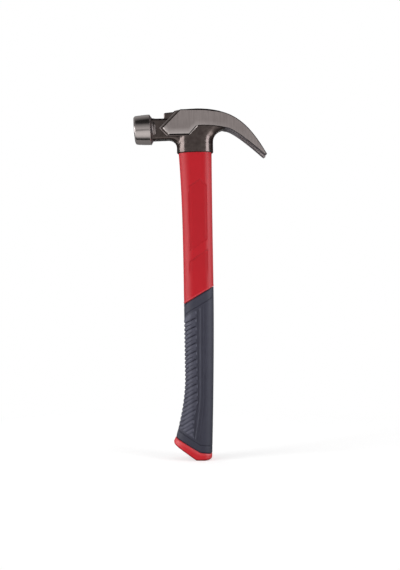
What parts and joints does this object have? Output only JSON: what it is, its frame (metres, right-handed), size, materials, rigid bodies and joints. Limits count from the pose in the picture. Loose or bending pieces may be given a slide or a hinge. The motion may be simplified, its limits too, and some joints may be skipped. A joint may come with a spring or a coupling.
{
  "type": "curved claw hammer",
  "caption": "Curved claw hammer with a forged steel head, ground cheeks, a magnetic nail starter, a moulded jacket over a fibreglass rod, a soft ribbed grip and a flared butt.",
  "frame": {"origin": "on the handle's axis at the middle of the grip, where a hand holds it", "axes": "+Z along the handle towards the head, -X the way the striking face looks, +X the way the claw reaches, Y across the hammer's thickness"},
  "size_m": [0.1318, 0.032, 0.3482],
  "materials": {
    "head_steel": "forged dark steel with ground cheeks, claw and poll",
    "fibreglass": "drawn glass fibre in resin",
    "bonding_resin": "cast filled resin",
    "red_jacket": "satin moulded plastic",
    "grip_rubber": "soft moulded elastomer with slanted ribs",
    "red_cap": "satin moulded plastic",
    "magnet_plating": "nickel plating"
  },
  "bodies": {
    "root": {"hammer_head": "head_steel", "fibreglass_rod": "fibreglass", "eye_resin": "bonding_resin", "handle_jacket": "red_jacket", "grip_sleeve": "grip_rubber", "butt_cap": "red_cap", "starter_magnet": "magnet_plating"}
  },
  "joints": []
}
